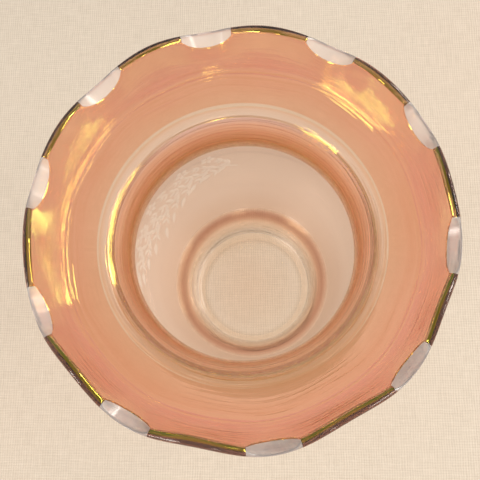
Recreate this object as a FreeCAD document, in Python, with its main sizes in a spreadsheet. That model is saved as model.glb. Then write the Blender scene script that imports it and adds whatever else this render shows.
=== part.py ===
import FreeCAD, Part
import math
import os

import Sketcher

# A short, wide-throated vase of hot-worked glass, 132 mm tall, with a ruffled and flared rim.
# Frame: +Z up, origin on the axis of the vase at the plane that it stands on. Millimetres.
# The wall is one skin of even thickness. Every bend is a pair of arcs about one centre, so
# neighbouring zones of the wall meet face to face, square to the skin.

SIZES = {
    # the skin
    "wall": 3.0,
    # the round bulb, a hollow ball about a point on the axis
    "bulb_radius": 53.0,
    "bulb_centre_height": 58.5,
    "heel_top_angle": 47.5,
    # the heel, where the ball bends in to the foot
    "heel_bend": 14.0,
    "heel_foot_angle": 22.0,
    # the foot and the base
    "foot_radius": 29.4,
    "foot_edge": 0.8,
    "base_radius": 23.6,
    "base_thickness": 3.0,
    "base_fillet": 2.4,
    # the throat, from the ball to the shelf
    "waist_bend": 5.0,
    "waist_radius": 42.4,
    "throat_lean": 20.0,
    "throat_length": 9.9,
    "bead_bend": 3.0,
    "shelf_rise": 10.0,
    # the flare, from the shelf to the ruffled edge
    "flare_start_radius": 49.0,
    "crease_radius": 59.9,
    "edge_radius": 65.3,
    "edge_height": 128.2,
    "ruffle_reach": 1.5,
    "ruffle_lift": 3.2,
    # the scoops ground into the edge
    "scoop_radius": 10.0,
    "scoop_depth": 1.5,
    "scoop_tilt": 38.0,
    "scoop_reach": 15.0,
}

# Bearings of the ten scoops about the axis, in degrees from +X towards +Y. They were set out by
# eye on the glass, so they aren't quite even.
SCOOP_BEARINGS = [28.8, 62.8, 99.0, 133.6, 167.0, 203.0, 240.0, 279.0, 319.6, 354.0]

SECTIONS_PER_RUFFLE = 6
NODES = ["rim_flare", "throat_ring", "frosted_body", "heel_ring", "foot_ring", "base_disc"]


class Size:
    """A length or ratio that carries its value and the sheet expression that gives it."""

    def __init__(self, value, text):
        self.value = value
        self.text = text

    def __add__(self, other):
        other = as_size(other)
        return Size(self.value + other.value, f"({self.text} + {other.text})")

    def __sub__(self, other):
        other = as_size(other)
        return Size(self.value - other.value, f"({self.text} - {other.text})")

    def __mul__(self, other):
        other = as_size(other)
        return Size(self.value * other.value, f"({self.text} * {other.text})")

    def __truediv__(self, other):
        other = as_size(other)
        return Size(self.value / other.value, f"({self.text} / {other.text})")


def as_size(number):
    """Let a plain number stand in a sum of sizes."""
    return number if isinstance(number, Size) else Size(float(number), f"{number}")


def cosine(angle):
    return Size(math.cos(math.radians(angle.value)), f"cos({angle.text} * 1 deg)")


def sine(angle):
    return Size(math.sin(math.radians(angle.value)), f"sin({angle.text} * 1 deg)")


def root(area):
    return Size(math.sqrt(area.value), f"sqrt({area.text})")


def make_sheet(doc):
    """Write the driving dimensions as plain numbers, each with an alias."""
    sheet = doc.addObject("Spreadsheet::Sheet", "sizes")
    cells = dict(SIZES)
    for number, bearing in enumerate(SCOOP_BEARINGS, start=1):
        cells[f"scoop_bearing_{number}"] = bearing
    for row, (alias, value) in enumerate(cells.items(), start=1):
        sheet.set(f"A{row}", alias.replace("_", " "))
        sheet.set(f"B{row}", str(value))
        sheet.setAlias(f"B{row}", alias)
    doc.recompute()
    return sheet


def size(sheet, alias):
    """A driving dimension, read from its cell."""
    return Size(float(sheet.get(alias)), f"sizes.{alias}")


class Profile:
    """Half-section of the vase: the points and arc centres that the zones share."""

    def __init__(self, sheet):
        wall = size(sheet, "wall")
        zero = as_size(0)

        # the ball
        self.bulb_outer = size(sheet, "bulb_radius")
        self.bulb_inner = self.bulb_outer - wall
        self.bulb_centre = (zero, size(sheet, "bulb_centre_height"))

        # the waist, tangent to the ball: its centre lies outside the skin
        self.waist_outer = size(sheet, "waist_bend")
        self.waist_inner = self.waist_outer + wall
        reach = self.bulb_outer + self.waist_outer
        centre_radius = size(sheet, "waist_radius") + self.waist_outer
        climb = root(reach * reach - centre_radius * centre_radius)
        self.waist_centre = (centre_radius, self.bulb_centre[1] + climb)
        to_waist = (centre_radius / reach, climb / reach)
        self.shoulder_inner = along(self.bulb_centre, self.bulb_inner, to_waist)
        self.shoulder_outer = along(self.bulb_centre, self.bulb_outer, to_waist)

        # the straight part of the throat, then the bead at its top
        lean = size(sheet, "throat_lean")
        up_throat = (sine(lean), cosine(lean))
        into_skin = (cosine(lean), zero - sine(lean))
        out_of_skin = (zero - cosine(lean), sine(lean))
        length = size(sheet, "throat_length")
        self.throat_low_inner = along(self.waist_centre, self.waist_inner, out_of_skin)
        self.throat_low_outer = along(self.waist_centre, self.waist_outer, out_of_skin)
        self.throat_top_inner = along(self.throat_low_inner, length, up_throat)
        self.throat_top_outer = along(self.throat_low_outer, length, up_throat)
        self.bead_under = size(sheet, "bead_bend")
        self.bead_top = self.bead_under + wall
        self.bead_centre = along(self.throat_top_inner, self.bead_top, into_skin)

        # the shelf that the flare rises from
        self.rise = size(sheet, "shelf_rise")
        up_from_shelf = (zero - sine(self.rise), cosine(self.rise))
        self.shelf_start_top = along(self.bead_centre, self.bead_top, up_from_shelf)
        self.shelf_start_under = along(self.bead_centre, self.bead_under, up_from_shelf)
        self.flare_start = size(sheet, "flare_start_radius")
        self.shelf_end_top = self.on_shelf(self.shelf_start_top, self.flare_start)
        self.shelf_end_under = self.on_shelf(self.shelf_start_under, self.flare_start)

        # the heel: an arc tangent to the ball, which turns upright at the foot's radius
        self.heel_outer = size(sheet, "heel_bend")
        self.heel_inner = self.heel_outer + wall
        self.foot_outer = size(sheet, "foot_radius")
        self.foot_inner = self.foot_outer - wall
        reach = self.bulb_outer + self.heel_outer
        centre_radius = self.foot_outer + self.heel_outer
        drop = root(reach * reach - centre_radius * centre_radius)
        self.heel_centre = (centre_radius, self.bulb_centre[1] - drop)
        to_heel = (centre_radius / reach, zero - drop / reach)
        self.heel_start_inner = along(self.bulb_centre, self.bulb_inner, to_heel)
        self.heel_start_outer = along(self.bulb_centre, self.bulb_outer, to_heel)
        top = size(sheet, "heel_top_angle")
        to_top = (cosine(top), zero - sine(top))
        self.heel_top_inner = along(self.bulb_centre, self.bulb_inner, to_top)
        self.heel_top_outer = along(self.bulb_centre, self.bulb_outer, to_top)
        seam = size(sheet, "heel_foot_angle")
        to_seam = (zero - cosine(seam), sine(seam))
        self.heel_low_inner = along(self.heel_centre, self.heel_inner, to_seam)
        self.heel_low_outer = along(self.heel_centre, self.heel_outer, to_seam)

    def on_shelf(self, start, radius):
        """The point at a given radius on a shelf line through start."""
        slope = sine(self.rise) / cosine(self.rise)
        return (radius, start[1] + (radius - start[0]) * slope)


def along(start, distance, direction):
    """The point at a distance from start in a direction, both in the half-section."""
    return (start[0] + direction[0] * distance, start[1] + direction[1] * distance)


def origin_feature(body, role):
    """One of the body's own origin planes or axes."""
    return next(item for item in body.Origin.OriginFeatures if item.Role == role)


def bind_point(sketch, geometry, end, point, tag):
    """Hold one end of a curve at a point whose coordinates come from the sheet."""
    for kind, axis, coordinate in (("DistanceX", "r", point[0]), ("DistanceY", "z", point[1])):
        index = sketch.addConstraint(Sketcher.Constraint(kind, -1, 1, geometry, end, coordinate.value))
        name = f"{tag}_{axis}"
        sketch.renameConstraint(index, name)
        sketch.setExpression(f"Constraints.{name}", coordinate.text)


def arc_between(start, end, centre):
    """A sketch arc about a centre, and whether it runs from start to end as drawn."""
    middle = FreeCAD.Vector(centre[0].value, centre[1].value, 0)
    first = FreeCAD.Vector(start[0].value, start[1].value, 0) - middle
    last = FreeCAD.Vector(end[0].value, end[1].value, 0) - middle
    angles = [math.atan2(first.y, first.x), math.atan2(last.y, last.x)]
    turn = (angles[1] - angles[0]) % (2 * math.pi)
    forward = turn < math.pi
    if not forward:
        angles.reverse()
    circle = Part.Circle(middle, FreeCAD.Vector(0, 0, 1), first.Length)
    return Part.ArcOfCircle(circle, angles[0], angles[1]), forward


def turned_body(doc, label, outline):
    """A full turn of a closed outline.

    outline is a list of (point, centre): each point starts a side, which is straight where
    centre is None and an arc about centre otherwise.
    """
    body = doc.addObject("PartDesign::Body", label)
    body.Label = label
    sketch = body.newObject("Sketcher::SketchObject", f"{label}_outline")
    sketch.AttachmentSupport = [(origin_feature(body, "XZ_Plane"), "")]
    sketch.MapMode = "FlatFace"
    ends = []
    for number, (start, centre) in enumerate(outline):
        finish = outline[(number + 1) % len(outline)][0]
        if centre is None:
            line = Part.LineSegment(
                FreeCAD.Vector(start[0].value, start[1].value, 0),
                FreeCAD.Vector(finish[0].value, finish[1].value, 0),
            )
            side = sketch.addGeometry(line, False)
            ends.append((side, 1, 2))
        else:
            arc, forward = arc_between(start, finish, centre)
            side = sketch.addGeometry(arc, False)
            ends.append((side, 1, 2) if forward else (side, 2, 1))
    for number, (side, _, finish_end) in enumerate(ends):
        next_side, next_start, _ = ends[(number + 1) % len(ends)]
        sketch.addConstraint(Sketcher.Constraint("Coincident", side, finish_end, next_side, next_start))
    for number, (start, centre) in enumerate(outline):
        side, start_end, _ = ends[number]
        bind_point(sketch, side, start_end, start, f"corner_{number}")
    for number, (start, centre) in enumerate(outline):
        if centre is not None:
            hold_arc(sketch, ends[number][0], start, centre, f"bend_{number}")
    turn = body.newObject("PartDesign::Revolution", f"{label}_turn")
    turn.Profile = sketch
    turn.ReferenceAxis = (sketch, ["V_Axis"])
    turn.Angle = 360.0
    return body


def hold_arc(sketch, side, start, centre, tag):
    """Give an arc its radius: the distance from its centre to its start."""
    across = start[0] - centre[0]
    up = start[1] - centre[1]
    radius = root(across * across + up * up)
    index = sketch.addConstraint(Sketcher.Constraint("Radius", side, radius.value))
    sketch.renameConstraint(index, tag)
    sketch.setExpression(f"Constraints.{tag}", radius.text)


def make_throat_ring(doc, wall):
    """The shiny bead between the ball and the shelf: waist, leaning throat and rounded top."""
    return turned_body(doc, "throat_ring", [
        (wall.shoulder_inner, wall.waist_centre),
        (wall.throat_low_inner, None),
        (wall.throat_top_inner, wall.bead_centre),
        (wall.shelf_start_top, None),
        (wall.shelf_end_top, None),
        (wall.shelf_end_under, None),
        (wall.shelf_start_under, wall.bead_centre),
        (wall.throat_top_outer, None),
        (wall.throat_low_outer, wall.waist_centre),
        (wall.shoulder_outer, None),
    ])


def make_frosted_body(doc, wall):
    """The round bulb, from the shoulder down to the heel."""
    return turned_body(doc, "frosted_body", [
        (wall.heel_top_inner, wall.bulb_centre),
        (wall.shoulder_inner, None),
        (wall.shoulder_outer, wall.bulb_centre),
        (wall.heel_top_outer, None),
    ])


def make_heel_ring(doc, wall):
    """The band where the ball bends in to the foot."""
    return turned_body(doc, "heel_ring", [
        (wall.heel_low_inner, wall.heel_centre),
        (wall.heel_start_inner, wall.bulb_centre),
        (wall.heel_top_inner, None),
        (wall.heel_top_outer, wall.bulb_centre),
        (wall.heel_start_outer, wall.heel_centre),
        (wall.heel_low_outer, None),
    ])


def make_foot_ring(doc, sheet, wall):
    """The upright collar that the vase stands on, with a filleted seat for the base."""
    zero = as_size(0)
    base_radius = size(sheet, "base_radius")
    base_top = size(sheet, "base_thickness")
    fillet = size(sheet, "base_fillet")
    edge = size(sheet, "foot_edge")
    edge_centre = (wall.foot_outer - edge, edge)
    fillet_centre = (wall.foot_inner - fillet, base_top + fillet)
    foot_top_inner = (wall.foot_inner, wall.heel_centre[1])
    foot_top_outer = (wall.foot_outer, wall.heel_centre[1])
    return turned_body(doc, "foot_ring", [
        ((base_radius, zero), None),
        ((base_radius, base_top), fillet_centre),
        ((wall.foot_inner, base_top + fillet), None),
        (foot_top_inner, wall.heel_centre),
        (wall.heel_low_inner, None),
        (wall.heel_low_outer, wall.heel_centre),
        (foot_top_outer, None),
        ((wall.foot_outer, edge), edge_centre),
        ((wall.foot_outer - edge, zero), None),
    ])


def make_base_disc(doc):
    """The clear floor of the vase, flush with the foot underneath."""
    body = doc.addObject("PartDesign::Body", "base_disc")
    body.Label = "base_disc"
    sketch = body.newObject("Sketcher::SketchObject", "base_disc_outline")
    sketch.AttachmentSupport = [(origin_feature(body, "XY_Plane"), "")]
    sketch.MapMode = "FlatFace"
    circle = Part.Circle(FreeCAD.Vector(0, 0, 0), FreeCAD.Vector(0, 0, 1), SIZES["base_radius"])
    sketch.addGeometry(circle, False)
    sketch.addConstraint(Sketcher.Constraint("Coincident", 0, 3, -1, 1))
    index = sketch.addConstraint(Sketcher.Constraint("Radius", 0, SIZES["base_radius"]))
    sketch.renameConstraint(index, "rim")
    sketch.setExpression("Constraints.rim", "sizes.base_radius")
    pad = body.newObject("PartDesign::Pad", "base_disc_plate")
    pad.Profile = sketch
    pad.Length = SIZES["base_thickness"]
    pad.setExpression("Length", "sizes.base_thickness")
    return body


def flare_section(wall, sheet, wave):
    """Control points of the flare's closed half-section at one bearing.

    wave is 1 at a scoop, where the edge is low and far out, and -1 half way between two scoops,
    where it is high and drawn in. The section goes outward along the top, round the edge and
    back along the underside.
    """
    thickness = sheet.get("wall")
    rise = math.radians(sheet.get("shelf_rise"))
    shelf = (math.cos(rise), math.sin(rise))
    start = (wall.shelf_end_top[0].value, wall.shelf_end_top[1].value)
    crease_radius = sheet.get("crease_radius")
    crease = (crease_radius, start[1] + (crease_radius - start[0]) * math.tan(rise))
    edge = (
        sheet.get("edge_radius") + sheet.get("ruffle_reach") * wave,
        sheet.get("edge_height") - sheet.get("ruffle_lift") * wave,
    )
    run = math.hypot(edge[0] - crease[0], edge[1] - crease[1])
    flare = ((edge[0] - crease[0]) / run, (edge[1] - crease[1]) / run)
    under_shelf = (shelf[1], -shelf[0])
    under_flare = (flare[1], -flare[0])
    mitre = 1 + under_shelf[0] * under_flare[0] + under_shelf[1] * under_flare[1]
    crease_under = (
        crease[0] + thickness * (under_shelf[0] + under_flare[0]) / mitre,
        crease[1] + thickness * (under_shelf[1] + under_flare[1]) / mitre,
    )
    shelf_steps = [-9.0, -6.0, -3.0, 0.0, 3.0, 6.0, 8.5]
    flare_shares = [0.16, 0.36, 0.58, 0.8, 0.92, 1.0]
    top = [(start[0] + shelf[0] * step, start[1] + shelf[1] * step) for step in shelf_steps]
    top.append(crease)
    top += [(crease[0] + flare[0] * run * share, crease[1] + flare[1] * run * share)
            for share in flare_shares]
    under = [(point[0] + thickness * under_flare[0], point[1] + thickness * under_flare[1])
             for point in reversed(top[-len(flare_shares):])]
    under.append(crease_under)
    under += [(point[0] + thickness * under_shelf[0], point[1] + thickness * under_shelf[1])
              for point in reversed(top[:len(shelf_steps)])]
    return top + under


def ruffle_bearings(bearings):
    """Bearings of the sections, evenly spread over each ruffle, with each one's wave."""
    # A cubic spline over evenly spaced samples of a cosine falls short of it by this factor.
    pull = (2 + math.cos(2 * math.pi / SECTIONS_PER_RUFFLE)) / 3
    sections = []
    for number, low in enumerate(bearings):
        high = bearings[(number + 1) % len(bearings)]
        gap = (high - low) % 360
        for step in range(SECTIONS_PER_RUFFLE):
            share = step / SECTIONS_PER_RUFFLE
            wave = math.cos(2 * math.pi * share) / pull
            sections.append((low + gap * share, wave))
    return sections


def make_ruffled_ring(doc, sheet, wall, bearings):
    """The flare before grinding: a smooth closed ring of glass with a ruffled edge."""
    poles = []
    for bearing, wave in ruffle_bearings(bearings):
        angle = math.radians(bearing)
        section = flare_section(wall, sheet, wave)
        poles.append([FreeCAD.Vector(r * math.cos(angle), r * math.sin(angle), z) for r, z in section])
    around = len(poles)
    across = len(poles[0])
    surface = Part.BSplineSurface()
    surface.buildFromPolesMultsKnots(
        poles,
        [1] * (around + 1),
        [1] * (across + 1),
        list(range(around + 1)),
        list(range(across + 1)),
        True,
        True,
        3,
        3,
    )
    solid = Part.Solid(Part.Shell([surface.toShape()]))
    if solid.Volume < 0:
        solid.reverse()
    ring = doc.addObject("Part::Feature", "ruffled_ring")
    ring.Label = "ruffled_ring"
    ring.Shape = solid
    return ring


def make_scoop(doc, sheet, number):
    """The grinding wheel's path at one scoop: a cylinder across the edge, tilted up outwards."""
    wheel = doc.addObject("Part::Cylinder", f"scoop_{number}")
    wheel.Label = f"scoop_{number}"
    tilt = "sizes.scoop_tilt"
    bearing = f"sizes.scoop_bearing_{number}"
    reach = "sizes.scoop_reach"
    wheel.setExpression("Radius", "sizes.scoop_radius")
    wheel.setExpression("Height", f"2 * {reach}")
    # The axis passes above the edge's low point, square to the tilt.
    lift = "(sizes.scoop_radius - sizes.scoop_depth)"
    edge_r = "(sizes.edge_radius + sizes.ruffle_reach + sizes.wall / 2)"
    edge_z = "(sizes.edge_height - sizes.ruffle_lift)"
    back_r = f"({edge_r} - {lift} * sin({tilt} * 1 deg) - {reach} * cos({tilt} * 1 deg))"
    back_z = f"({edge_z} + {lift} * cos({tilt} * 1 deg) - {reach} * sin({tilt} * 1 deg))"
    wheel.setExpression("Placement.Base.x", f"{back_r} * cos({bearing} * 1 deg)")
    wheel.setExpression("Placement.Base.y", f"{back_r} * sin({bearing} * 1 deg)")
    wheel.setExpression("Placement.Base.z", back_z)
    turn = FreeCAD.Rotation(FreeCAD.Vector(0, 0, 1), float(sheet.get(f"scoop_bearing_{number}")))
    lean = FreeCAD.Rotation(FreeCAD.Vector(0, 1, 0), 90 - float(sheet.get("scoop_tilt")))
    wheel.Placement.Rotation = turn.multiply(lean)
    return wheel


def make_rim_flare(doc, sheet, wall):
    """The ruffled flare: trimmed to the shelf's seam, with ten scoops ground into its edge."""
    bearings = [sheet.get(f"scoop_bearing_{number + 1}") for number in range(len(SCOOP_BEARINGS))]
    ring = make_ruffled_ring(doc, sheet, wall, bearings)
    core = doc.addObject("Part::Cylinder", "flare_core")
    core.setExpression("Radius", "sizes.flare_start_radius")
    core.setExpression("Height", "sizes.edge_height + sizes.wall")
    scoops = [make_scoop(doc, sheet, number + 1) for number in range(len(SCOOP_BEARINGS))]
    tools = doc.addObject("Part::MultiFuse", "flare_tools")
    tools.Shapes = [core] + scoops
    flare = doc.addObject("Part::Cut", "rim_flare")
    flare.Label = "rim_flare"
    flare.Base = ring
    flare.Tool = tools
    return flare


def build():
    """Make the whole document and return its sub-parts by node name."""
    doc = FreeCAD.newDocument("flared_vase")
    sheet = make_sheet(doc)
    wall = Profile(sheet)
    parts = [
        make_rim_flare(doc, sheet, wall),
        make_throat_ring(doc, wall),
        make_frosted_body(doc, wall),
        make_heel_ring(doc, wall),
        make_foot_ring(doc, sheet, wall),
        make_base_disc(doc),
    ]
    doc.recompute()
    for item in doc.Objects:
        if "Invalid" in item.State or "Error" in item.State:
            raise RuntimeError(f"{item.Name} failed: {item.State}")
    return {part.Label: part for part in parts}


def write(parts):
    """Check every sub-part's shape, then write them all."""
    for node in NODES:
        shape = parts[node].Shape
        if shape.isNull() or not shape.isValid() or len(shape.Solids) != 1:
            raise RuntimeError(f"{node} isn't one valid solid")
        box = shape.BoundBox
        print(f"{node}: {shape.Volume:.0f} mm3, z {box.ZMin:.2f} to {box.ZMax:.2f}, "
              f"x {box.XMin:.2f} to {box.XMax:.2f}, y {box.YMin:.2f} to {box.YMax:.2f}")
    os.makedirs("parts", exist_ok=True)
    for node in NODES:
        parts[node].Shape.exportStep(f"parts/{node}.step")


write(build())
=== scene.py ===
import logging
import math
import random
from dataclasses import dataclass, field
from enum import Enum, IntEnum
from typing import Sequence

import bpy
import numpy as np
from mathutils import Matrix, Vector


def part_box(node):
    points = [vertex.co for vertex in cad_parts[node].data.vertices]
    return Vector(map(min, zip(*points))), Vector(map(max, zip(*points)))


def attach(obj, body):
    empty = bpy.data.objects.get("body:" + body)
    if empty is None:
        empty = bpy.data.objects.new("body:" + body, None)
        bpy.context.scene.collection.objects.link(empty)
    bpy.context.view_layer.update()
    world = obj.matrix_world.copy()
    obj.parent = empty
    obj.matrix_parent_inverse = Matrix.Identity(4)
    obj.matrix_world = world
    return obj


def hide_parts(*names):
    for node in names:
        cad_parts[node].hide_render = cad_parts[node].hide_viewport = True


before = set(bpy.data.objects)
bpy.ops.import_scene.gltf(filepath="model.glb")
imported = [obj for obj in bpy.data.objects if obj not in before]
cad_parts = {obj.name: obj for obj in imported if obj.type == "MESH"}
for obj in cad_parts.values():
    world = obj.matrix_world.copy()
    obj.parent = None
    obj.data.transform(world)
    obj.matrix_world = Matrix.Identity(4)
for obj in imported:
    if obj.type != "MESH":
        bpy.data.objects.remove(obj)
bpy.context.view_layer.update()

LOG = logging.getLogger("flared_vase")
MM = 0.001
FULL_TURN = 2 * math.pi

Path = np.ndarray
Point = tuple[float, float]
Point3 = tuple[float, float, float]
Colour = tuple[float, float, float]
Tints = Sequence[tuple[float, Colour]]
Socket = bpy.types.NodeSocket


class Zone(Enum):
    """The zones of the glass skin. Each value is the CAD node that the zone's piece stands for."""

    RIM_FLARE = "rim_flare"
    THROAT_RING = "throat_ring"
    FROSTED_BODY = "frosted_body"
    HEEL_RING = "heel_ring"
    FOOT_RING = "foot_ring"
    BASE_DISC = "base_disc"


class Side(Enum):
    """Which side of the skin a run of the half-section lies on."""

    INNER = "inner"
    OUTER = "outer"


class RecordSlot(Enum):
    """The record's material slots."""

    LUSTRE = "lustre_glass"
    FROSTED = "frosted_glass"
    AMBER = "amber_glass"
    CLEAR = "clear_glass"


class TurnedSlot(IntEnum):
    """The material slots of a turned zone's piece."""

    INSIDE = 0
    OUTSIDE = 1
    SEAM = 2


class FlareSlot(IntEnum):
    """The material slots of the flare's piece."""

    LUSTRE = 0
    GROUND = 1
    SEAM = 2
    UNDER = 3
    EDGE = 4


# ---- the half-section of the skin ----


def along(start: Point, distance: float, angle: float) -> Point:
    """The point at a distance from start, at an angle in degrees: 0 is outwards and 90 is up."""
    turn = math.radians(angle)
    return (start[0] + distance * math.cos(turn), start[1] + distance * math.sin(turn))


def arc(centre: Point, radius: float, first: float, last: float, count: int) -> Path:
    """An arc of count points about a centre, between two angles in degrees, both included."""
    turn = np.radians(np.linspace(first, last, count))
    return np.column_stack([centre[0] + radius * np.cos(turn), centre[1] + radius * np.sin(turn)])


def line(start: Point, end: Point, count: int) -> Path:
    """Evenly spaced points from start to end, both included."""
    share = np.linspace(0.0, 1.0, count)[:, None]
    return np.asarray(start) * (1 - share) + np.asarray(end) * share


def join(*runs: Path) -> Path:
    """Runs of points end to end, without the points that two runs share."""
    return np.vstack([runs[0], *(run[1:] for run in runs[1:])])


def way_along(path: np.ndarray) -> np.ndarray:
    """How far each point of a line lies from its first point, along the line."""
    return np.concatenate([[0.0], np.cumsum(np.linalg.norm(np.diff(path, axis=0), axis=1))])


def resample(path: Path, count: int) -> Path:
    """The same line with evenly spaced points.

    Args:
        path: the line's points.
        count: how many points it gets.

    Returns:
        The new points.
    """
    way = way_along(path)
    wanted = np.linspace(0.0, way[-1], count)
    return np.column_stack([np.interp(wanted, way, path[:, axis]) for axis in (0, 1)])


def node_radius(zone: Zone) -> float:
    """The outer radius of a zone's CAD node, in metres."""
    low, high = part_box(zone.value)
    return (high.x - low.x) / 2


@dataclass
class SkinForm:
    """Sizes of the glass skin, in metres and degrees, and the turned runs of its half-section.

    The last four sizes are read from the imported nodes.
    """

    wall: float = 3.0 * MM
    bulb_centre_height: float = 58.5 * MM
    heel_top_angle: float = 47.5
    heel_bend: float = 14.0 * MM
    heel_foot_angle: float = 22.0
    foot_radius: float = 29.4 * MM
    foot_edge: float = 0.8 * MM
    base_fillet: float = 2.4 * MM
    waist_bend: float = 5.0 * MM
    waist_radius: float = 42.4 * MM
    throat_lean: float = 20.0
    throat_length: float = 9.9 * MM
    bead_bend: float = 3.0 * MM
    shelf_rise: float = 10.0
    bulb_radius: float = field(init=False)
    base_radius: float = field(init=False)
    base_thickness: float = field(init=False)
    flare_start: float = field(init=False)

    def __post_init__(self) -> None:
        """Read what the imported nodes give, then place the arc centres."""
        self.bulb_radius = node_radius(Zone.FROSTED_BODY)
        self.base_radius = node_radius(Zone.BASE_DISC)
        self.flare_start = node_radius(Zone.THROAT_RING)
        base_low, base_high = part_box(Zone.BASE_DISC.value)
        self.base_thickness = base_high.z - base_low.z
        self.bulb_centre = (0.0, self.bulb_centre_height)
        self.shoulder_angle, self.waist_centre = self.beside_ball(self.waist_bend, self.waist_radius, 1)
        self.heel_angle, self.heel_centre = self.beside_ball(self.heel_bend, self.foot_radius, -1)
        throat_foot = along(self.waist_centre, self.waist_bend + self.wall, 180 - self.throat_lean)
        throat_top = along(throat_foot, self.throat_length, 90 - self.throat_lean)
        self.bead_centre = along(throat_top, self.bead_bend + self.wall, -self.throat_lean)

    def beside_ball(self, bend: float, radius: float, side: int) -> tuple[float, Point]:
        """Where an outward bend touches the ball.

        Args:
            bend: the bend's radius.
            radius: how near to the axis the bend comes.
            side: 1 above the ball's middle and -1 below it.

        Returns:
            The angle of the touching point on the ball, in degrees, and the bend's centre.
        """
        reach = self.bulb_radius + bend
        angle = math.degrees(math.acos((radius + bend) / reach))
        return angle, along(self.bulb_centre, reach, side * angle)

    def inset(self, side: Side) -> float:
        """How far a side lies inside the outer side, in metres."""
        return self.wall if side is Side.INNER else 0.0

    def foot_run(self, side: Side) -> Path:
        """The foot, from the base's edge up to the heel's seam.

        Args:
            side: the side of the skin.

        Returns:
            The run's points.
        """
        depth = self.inset(side)
        wall_radius = self.foot_radius - depth
        if side is Side.INNER:
            centre = (wall_radius - self.base_fillet, self.base_thickness + self.base_fillet)
            start = line((self.base_radius, self.base_thickness), (centre[0], self.base_thickness), count=2)
            corner = arc(centre, self.base_fillet, -90, 0, count=10)
        else:
            centre = (wall_radius - self.foot_edge, self.foot_edge)
            start = line((self.base_radius, 0.0), (centre[0], 0.0), count=5)
            corner = arc(centre, self.foot_edge, -90, 0, count=8)
        upright = line(tuple(corner[-1]), (wall_radius, self.heel_centre[1]), count=6)
        bend = arc(self.heel_centre, self.heel_bend + depth, 180, 180 - self.heel_foot_angle, count=12)
        return join(start, corner, upright, bend)

    def heel_run(self, side: Side) -> Path:
        """The heel, from the foot's seam up to the ball's seam.

        Args:
            side: the side of the skin.

        Returns:
            The run's points.
        """
        depth = self.inset(side)
        bend = arc(self.heel_centre, self.heel_bend + depth, 180 - self.heel_foot_angle,
                   180 - self.heel_angle, count=14)
        ball = arc(self.bulb_centre, self.bulb_radius - depth, -self.heel_angle,
                   -self.heel_top_angle, count=5)
        return join(bend, ball)

    def bulb_run(self, side: Side) -> Path:
        """The ball, from the heel's seam up to the shoulder."""
        radius = self.bulb_radius - self.inset(side)
        return arc(self.bulb_centre, radius, -self.heel_top_angle, self.shoulder_angle, count=64)

    def throat_run(self, side: Side) -> Path:
        """The waist, the leaning throat, the bead and the start of the shelf.

        Args:
            side: the side of the skin.

        Returns:
            The run's points.
        """
        depth = self.inset(side)
        leaning = 180 - self.throat_lean
        waist = arc(self.waist_centre, self.waist_bend + depth, 180 + self.shoulder_angle, leaning, count=26)
        bead = arc(self.bead_centre, self.bead_bend + depth, leaning, 90 + self.shelf_rise, count=24)
        throat = line(tuple(waist[-1]), tuple(bead[0]), count=14)
        shelf = line(tuple(bead[-1]), self.on_shelf(side, self.flare_start), count=3)
        return join(waist, throat, bead, shelf)

    def on_shelf(self, side: Side, radius: float) -> Point:
        """The point of the shelf at a given radius."""
        start = along(self.bead_centre, self.bead_bend + self.inset(side), 90 + self.shelf_rise)
        return (radius, start[1] + (radius - start[0]) * math.tan(math.radians(self.shelf_rise)))


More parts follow.
